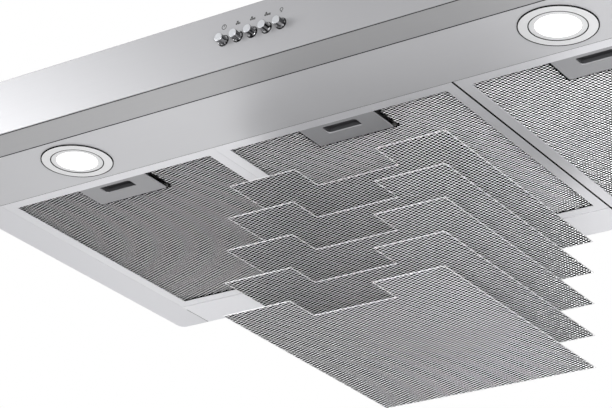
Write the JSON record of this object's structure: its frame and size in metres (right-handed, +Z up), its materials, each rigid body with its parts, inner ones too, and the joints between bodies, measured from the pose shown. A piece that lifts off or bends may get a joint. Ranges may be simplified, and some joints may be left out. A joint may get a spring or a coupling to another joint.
{
  "type": "chimney range hood",
  "caption": "Wall-hung range hood with flat brushed-steel canopy, telescopic chimney, push buttons, round lamps and layered mesh grease filters that swing down at the front.",
  "frame": {"origin": "middle of the canopy's rear face, on the wall plane, halfway up the 60 mm canopy", "axes": "+X to the right seen from the front, +Y into the wall, +Z up"},
  "size_m": [0.898, 0.5088, 0.6978],
  "materials": {
    "steel": "brushed stainless sheet",
    "aluminium": "satin folded aluminium",
    "mesh": "expanded aluminium mesh, layered",
    "grey_plastic": "dark grey moulded plastic",
    "latch_plastic": "charcoal moulded plastic",
    "lens": "frosted white diffuser",
    "lamp_metal": "satin die-cast aluminium",
    "button_metal": "satin-faced chromed caps",
    "black_plastic": "black moulded plastic",
    "galvanised": "galvanised sheet",
    "housing_plastic": "dark moulded polypropylene",
    "motor_paint": "dark painted motor can",
    "spring_steel": "spring steel strip",
    "screw_zinc": "zinc plated screws and nuts"
  },
  "bodies": {
    "hood": {"canopy_top": "steel", "side_panel_left": "steel", "side_panel_right": "steel", "front_fascia": "steel", "front_strip": "steel", "light_panel": "steel", "rear_strip": "steel", "lamp_bezel_left": "lamp_metal", "lamp_bezel_right": "lamp_metal", "lamp_ring_left": "lamp_metal", "lamp_ring_right": "lamp_metal", "lamp_lens_left": "lens", "lamp_lens_right": "lens", "lamp_can_left": "lamp_metal", "lamp_can_right": "lamp_metal", "lamp_clips": "spring_steel", "button_rings": "button_metal", "switch_block": "black_plastic", "chimney_lower": "steel", "support_frame": "galvanised", "blower_housing_left": "housing_plastic", "blower_housing_right": "housing_plastic", "blower_motor": "motor_paint", "outlet_collar": "black_plastic", "terminal_box": "black_plastic", "cable_gland": "black_plastic", "fixing_screws": "screw_zinc"},
    "button_off_cap": {"button_off": "button_metal"},
    "button_speed_1_cap": {"button_speed_1": "button_metal"},
    "button_speed_2_cap": {"button_speed_2": "button_metal"},
    "button_speed_3_cap": {"button_speed_3": "button_metal"},
    "button_light_cap": {"button_light": "button_metal"},
    "cassette_left": {"filter_frame_left": "aluminium", "filter_mesh_left": "mesh", "filter_handle_left": "grey_plastic", "latch_spring_left": "spring_steel"},
    "cassette_middle": {"filter_frame_middle": "aluminium", "filter_mesh_middle": "mesh", "filter_handle_middle": "grey_plastic", "latch_spring_middle": "spring_steel"},
    "cassette_right": {"filter_frame_right": "aluminium", "filter_mesh_right": "mesh", "filter_handle_right": "grey_plastic", "latch_spring_right": "spring_steel"},
    "latch_left": {"filter_latch_left": "latch_plastic"},
    "latch_middle": {"filter_latch_middle": "latch_plastic"},
    "latch_right": {"filter_latch_right": "latch_plastic"},
    "layer_1": {"mesh_layer_1": "mesh"},
    "layer_2": {"mesh_layer_2": "mesh"},
    "layer_3": {"mesh_layer_3": "mesh"},
    "layer_4": {"mesh_layer_4": "mesh"},
    "layer_5": {"mesh_layer_5": "mesh"},
    "chimney_sleeve": {"chimney_upper": "steel", "chimney_bracket": "galvanised"},
    "wheel": {"motor_shaft": "spring_steel", "impeller_disc": "galvanised", "impeller_rings": "galvanised", "impeller_blades": "galvanised"},
    "front_flap": {"flap_front": "black_plastic"},
    "rear_flap": {"flap_rear": "black_plastic"}
  },
  "joints": [
    {"name": "button_off_press", "type": "slide", "parent": "hood", "child": "button_off_cap", "axis": [0, 1, 0], "range_m": [0, 0.0035], "stiffness_N_per_m": 500, "springref_m": -0.002},
    {"name": "button_speed_1_press", "type": "slide", "parent": "hood", "child": "button_speed_1_cap", "axis": [0, 1, 0], "range_m": [0, 0.0035], "stiffness_N_per_m": 500, "springref_m": -0.002},
    {"name": "button_speed_2_press", "type": "slide", "parent": "hood", "child": "button_speed_2_cap", "axis": [0, 1, 0], "range_m": [0, 0.0035], "stiffness_N_per_m": 500, "springref_m": -0.002},
    {"name": "button_speed_3_press", "type": "slide", "parent": "hood", "child": "button_speed_3_cap", "axis": [0, 1, 0], "range_m": [0, 0.0035], "stiffness_N_per_m": 500, "springref_m": -0.002},
    {"name": "button_light_press", "type": "slide", "parent": "hood", "child": "button_light_cap", "axis": [0, 1, 0], "range_m": [0, 0.0035], "stiffness_N_per_m": 500, "springref_m": -0.002},
    {"name": "cassette_left_swing", "type": "hinge", "parent": "hood", "child": "cassette_left", "pos_m": [-0.27385, -0.0518, -0.0285], "axis": [1, 0, 0], "range_deg": [0, 75]},
    {"name": "cassette_middle_swing", "type": "hinge", "parent": "hood", "child": "cassette_middle", "pos_m": [-0.00085, -0.0518, -0.0285], "axis": [1, 0, 0], "range_deg": [0, 75]},
    {"name": "cassette_right_swing", "type": "hinge", "parent": "hood", "child": "cassette_right", "pos_m": [0.27385, -0.0518, -0.0285], "axis": [1, 0, 0], "range_deg": [0, 75]},
    {"name": "latch_left_pull", "type": "slide", "parent": "cassette_left", "child": "latch_left", "axis": [0, 1, 0], "range_m": [0, 0.0055], "stiffness_N_per_m": 600, "springref_m": -0.003, "deforming": ["latch_spring_left"]},
    {"name": "latch_middle_pull", "type": "slide", "parent": "cassette_middle", "child": "latch_middle", "axis": [0, 1, 0], "range_m": [0, 0.0055], "stiffness_N_per_m": 600, "springref_m": -0.003, "deforming": ["latch_spring_middle"]},
    {"name": "latch_right_pull", "type": "slide", "parent": "cassette_right", "child": "latch_right", "axis": [0, 1, 0], "range_m": [0, 0.0055], "stiffness_N_per_m": 600, "springref_m": -0.003, "deforming": ["latch_spring_right"]},
    {"name": "layer_1_insert", "type": "slide", "parent": "cassette_middle", "child": "layer_1", "axis": [0, 0, 1], "range_m": [0, 0.04225]},
    {"name": "layer_2_insert", "type": "slide", "parent": "cassette_middle", "child": "layer_2", "axis": [0, 0, 1], "range_m": [0, 0.0759]},
    {"name": "layer_3_insert", "type": "slide", "parent": "cassette_middle", "child": "layer_3", "axis": [0, 0, 1], "range_m": [0, 0.10955]},
    {"name": "layer_4_insert", "type": "slide", "parent": "cassette_middle", "child": "layer_4", "axis": [0, 0, 1], "range_m": [0, 0.1432]},
    {"name": "layer_5_insert", "type": "slide", "parent": "cassette_middle", "child": "layer_5", "axis": [0, 0, 1], "range_m": [0, 0.17685]},
    {"name": "chimney_raise", "type": "slide", "parent": "hood", "child": "chimney_sleeve", "axis": [0, 0, 1], "range_m": [0, 0.33]},
    {"name": "wheel_spin", "type": "hinge", "parent": "hood", "child": "wheel", "pos_m": [0, -0.13, 0.148], "axis": [1, 0, 0], "continuous": true},
    {"name": "front_flap_lift", "type": "hinge", "parent": "hood", "child": "front_flap", "pos_m": [0, -0.13, 0.296], "axis": [-1, 0, 0], "range_deg": [0, 75]},
    {"name": "rear_flap_lift", "type": "hinge", "parent": "hood", "child": "rear_flap", "pos_m": [0, -0.13, 0.296], "axis": [1, 0, 0], "range_deg": [0, 75]}
  ],
  "couplings": [
    {"joint": "layer_1_insert", "follows": "layer_5_insert", "ratio": 0.2389},
    {"joint": "layer_2_insert", "follows": "layer_5_insert", "ratio": 0.42918},
    {"joint": "layer_3_insert", "follows": "layer_5_insert", "ratio": 0.61945},
    {"joint": "layer_4_insert", "follows": "layer_5_insert", "ratio": 0.80973}
  ]
}
